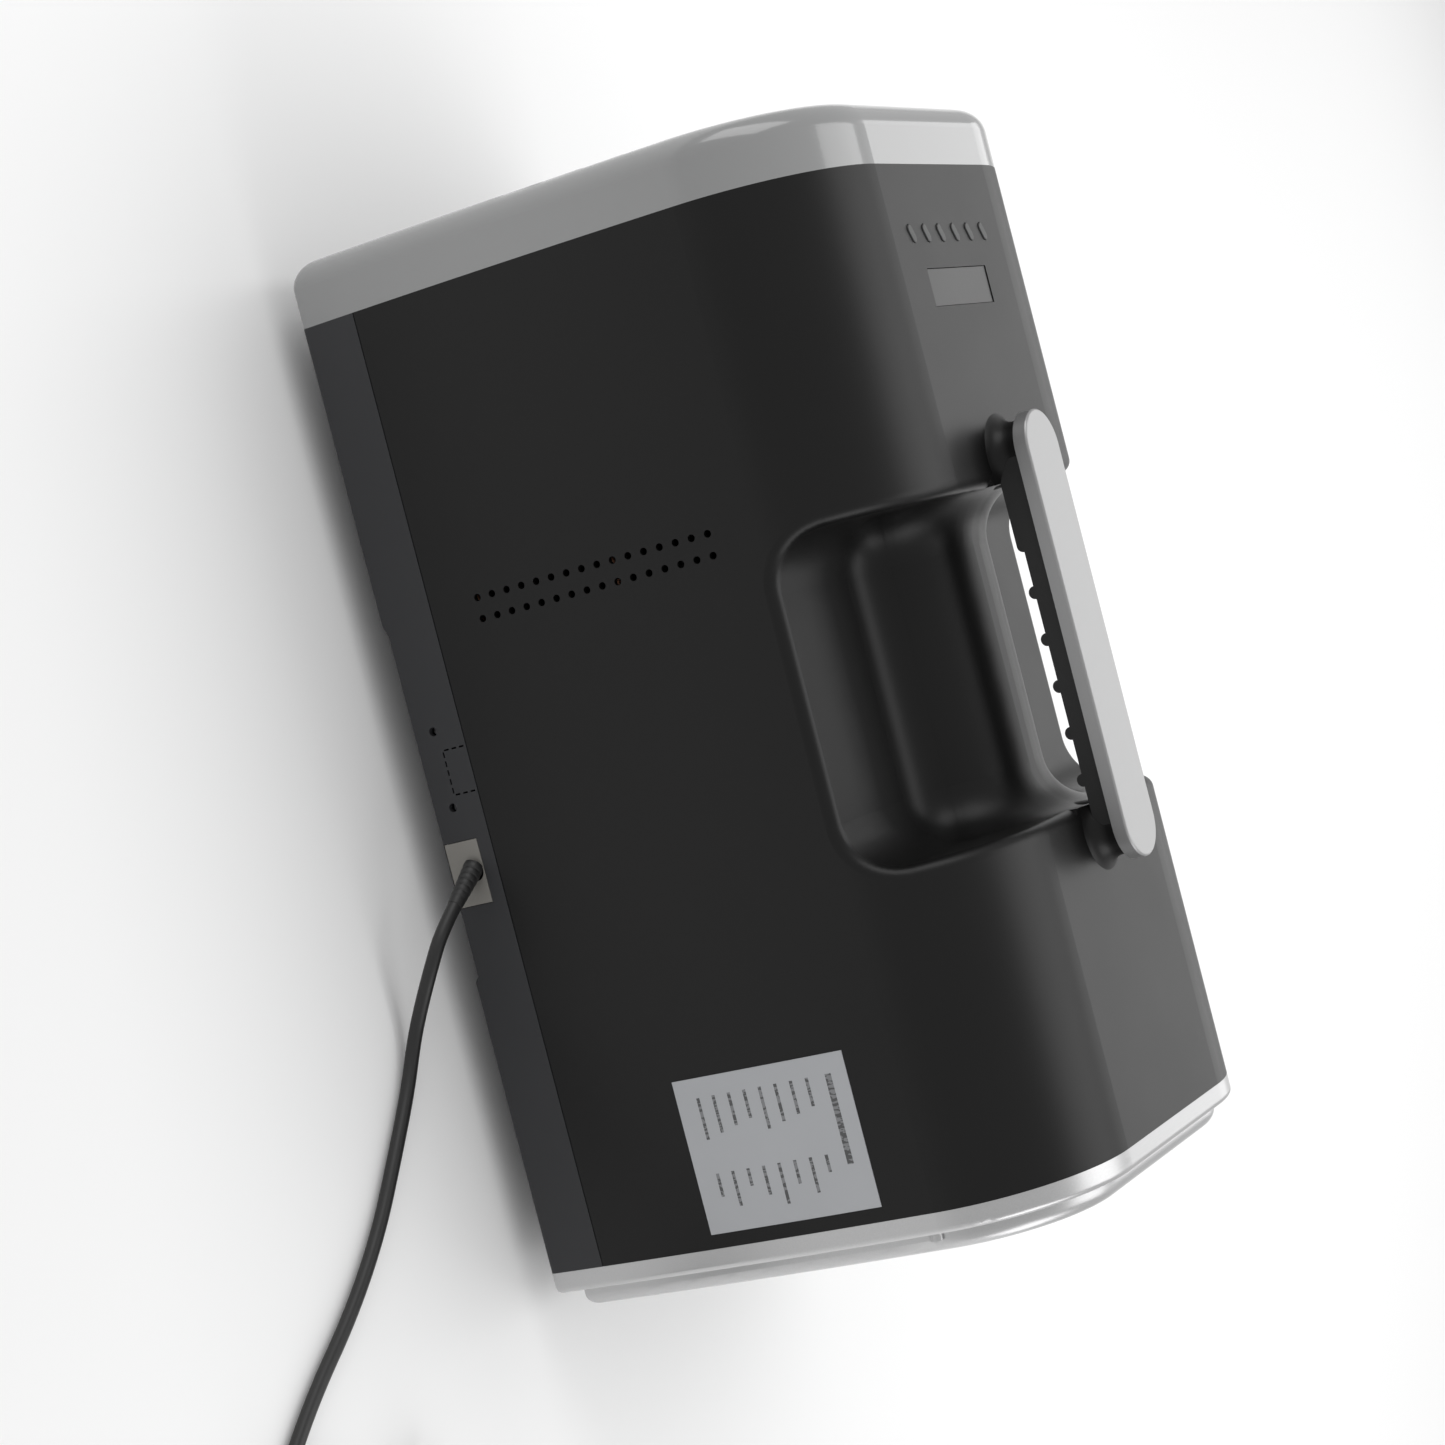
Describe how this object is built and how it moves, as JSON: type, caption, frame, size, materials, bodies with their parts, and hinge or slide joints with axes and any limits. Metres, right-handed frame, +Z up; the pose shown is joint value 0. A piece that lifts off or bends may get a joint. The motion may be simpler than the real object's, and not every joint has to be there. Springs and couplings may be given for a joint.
{
  "type": "portable air conditioner",
  "caption": "Compact portable air conditioner: dark moulded casing with rounded shoulders, hand recess and bridge handle, cold-air louvres in front and an exhaust duct collar behind.",
  "frame": {"origin": "on the floor, under the middle of the casing's overall box", "axes": "+X from the front bezel with its louvres towards the rear cover with its duct collar, +Y towards the side away from the cord and the rating plate, +Z up"},
  "size_m": [0.6037, 0.5219, 0.3],
  "materials": {
    "casing_black": "satin moulded plastic",
    "pan_grey": "fine matte plastic",
    "bezel_grey": "glossy mid grey plastic",
    "panel_grey": "satin dark grey plastic",
    "rear_silver": "silver painted plastic",
    "handle_silver": "light silver plastic",
    "inner_black": "dark moulded plastic",
    "key_grey": "satin plastic",
    "smoked_window": "smoked clear plastic",
    "foot_rubber": "matt rubber",
    "cord_rubber": "satin cord sheath",
    "pin_metal": "plated pins",
    "screw_steel": "zinc plated steel",
    "copper_tube": "bare copper",
    "coil_aluminium": "bare aluminium fins",
    "compressor_black": "black enamel",
    "motor_steel": "plated steel",
    "board_green": "circuit board",
    "label_silver": "satin label film",
    "plate_taupe": "matte plastic"
  },
  "bodies": {
    "casing": {"upper_shell": "casing_black", "handle_grip": "casing_black", "base_pan": "pan_grey", "front_bezel": "bezel_grey", "front_panel": "panel_grey", "rear_frame": "rear_silver", "rear_cover": "rear_silver", "handle_plate": "handle_silver", "rear_grille": "inner_black", "duct_collar": "inner_black", "duct_guard": "inner_black", "fan_shroud": "inner_black", "blower_scroll": "inner_black", "drip_tray": "inner_black", "bulkhead": "inner_black", "display_window": "smoked_window", "rubber_feet": "foot_rubber", "compressor_grommets": "foot_rubber", "wheel_bush": "foot_rubber", "cord_gland": "cord_rubber", "power_cord": "cord_rubber", "cord_coil": "cord_rubber", "plug_body": "cord_rubber", "plug_pins": "pin_metal", "casing_screws": "screw_steel", "accumulator_strap": "screw_steel", "suction_line": "copper_tube", "discharge_line": "copper_tube", "liquid_line": "copper_tube", "filter_drier": "copper_tube", "evaporator": "coil_aluminium", "condenser": "coil_aluminium", "compressor": "compressor_black", "accumulator": "compressor_black", "exhaust_motor": "motor_steel", "blower_motor": "motor_steel", "power_box": "motor_steel", "run_capacitor": "motor_steel", "power_board": "board_green", "control_board": "board_green", "rating_plate": "label_silver", "cord_plate": "plate_taupe", "drain_spout": "plate_taupe"},
    "key_1": {"key_1": "key_grey"},
    "key_2": {"key_2": "key_grey"},
    "key_3": {"key_3": "key_grey"},
    "key_4": {"key_4": "key_grey"},
    "key_5": {"key_5": "key_grey"},
    "key_6": {"key_6": "key_grey"},
    "louvre_1": {"louvre_1": "panel_grey"},
    "louvre_2": {"louvre_2": "panel_grey"},
    "louvre_3": {"louvre_3": "panel_grey"},
    "louvre_4": {"louvre_4": "panel_grey"},
    "louvre_5": {"louvre_5": "panel_grey"},
    "louvre_link": {"louvre_link": "panel_grey"},
    "blower_wheel": {"blower_wheel": "inner_black"},
    "exhaust_fan": {"exhaust_fan": "inner_black"},
    "filter_drawer": {"intake_grille": "inner_black", "air_filter": "inner_black"},
    "drain_plug": {"drain_plug": "cord_rubber"}
  },
  "joints": [
    {"name": "key_1_press", "type": "slide", "parent": "casing", "child": "key_1", "axis": [0, 0, -1], "range_m": [0, 0.0012], "stiffness_N_per_m": 250, "springref_m": -0.0004},
    {"name": "key_2_press", "type": "slide", "parent": "casing", "child": "key_2", "axis": [0, 0, -1], "range_m": [0, 0.0012], "stiffness_N_per_m": 250, "springref_m": -0.0004},
    {"name": "key_3_press", "type": "slide", "parent": "casing", "child": "key_3", "axis": [0, 0, -1], "range_m": [0, 0.0012], "stiffness_N_per_m": 250, "springref_m": -0.0004},
    {"name": "key_4_press", "type": "slide", "parent": "casing", "child": "key_4", "axis": [0, 0, -1], "range_m": [0, 0.0012], "stiffness_N_per_m": 250, "springref_m": -0.0004},
    {"name": "key_5_press", "type": "slide", "parent": "casing", "child": "key_5", "axis": [0, 0, -1], "range_m": [0, 0.0012], "stiffness_N_per_m": 250, "springref_m": -0.0004},
    {"name": "key_6_press", "type": "slide", "parent": "casing", "child": "key_6", "axis": [0, 0, -1], "range_m": [0, 0.0012], "stiffness_N_per_m": 250, "springref_m": -0.0004},
    {"name": "louvre_1_tilt", "type": "hinge", "parent": "casing", "child": "louvre_1", "pos_m": [-0.235, 0, 0.163], "axis": [0, 1, 0], "range_deg": [-40, 40]},
    {"name": "louvre_2_tilt", "type": "hinge", "parent": "casing", "child": "louvre_2", "pos_m": [-0.235, 0, 0.179], "axis": [0, 1, 0], "range_deg": [-40, 40]},
    {"name": "louvre_3_tilt", "type": "hinge", "parent": "casing", "child": "louvre_3", "pos_m": [-0.235, 0, 0.195], "axis": [0, 1, 0], "range_deg": [-40, 40]},
    {"name": "louvre_4_tilt", "type": "hinge", "parent": "casing", "child": "louvre_4", "pos_m": [-0.235, 0, 0.211], "axis": [0, 1, 0], "range_deg": [-40, 40]},
    {"name": "louvre_5_tilt", "type": "hinge", "parent": "casing", "child": "louvre_5", "pos_m": [-0.235, 0, 0.227], "axis": [0, 1, 0], "range_deg": [-40, 40]},
    {"name": "louvre_link_tilt", "type": "hinge", "parent": "louvre_1", "child": "louvre_link", "pos_m": [-0.228, 0, 0.163], "axis": [0, 1, 0], "range_deg": [-40, 40]},
    {"name": "blower_wheel_spin", "type": "hinge", "parent": "casing", "child": "blower_wheel", "pos_m": [-0.154, 0, 0.196], "axis": [0, 1, 0], "continuous": true},
    {"name": "exhaust_fan_spin", "type": "hinge", "parent": "casing", "child": "exhaust_fan", "pos_m": [0.195, 0, 0.19], "axis": [1, 0, 0], "continuous": true},
    {"name": "filter_drawer_slide", "type": "slide", "parent": "casing", "child": "filter_drawer", "axis": [-1, 0, 0], "range_m": [0, 0.06]},
    {"name": "drain_plug_pull", "type": "slide", "parent": "casing", "child": "drain_plug", "axis": [1, 0, 0], "range_m": [0, 0.016]}
  ],
  "couplings": [
    {"joint": "louvre_2_tilt", "follows": "louvre_1_tilt", "ratio": 1},
    {"joint": "louvre_3_tilt", "follows": "louvre_1_tilt", "ratio": 1},
    {"joint": "louvre_4_tilt", "follows": "louvre_1_tilt", "ratio": 1},
    {"joint": "louvre_5_tilt", "follows": "louvre_1_tilt", "ratio": 1},
    {"joint": "louvre_link_tilt", "follows": "louvre_1_tilt", "ratio": -1}
  ]
}
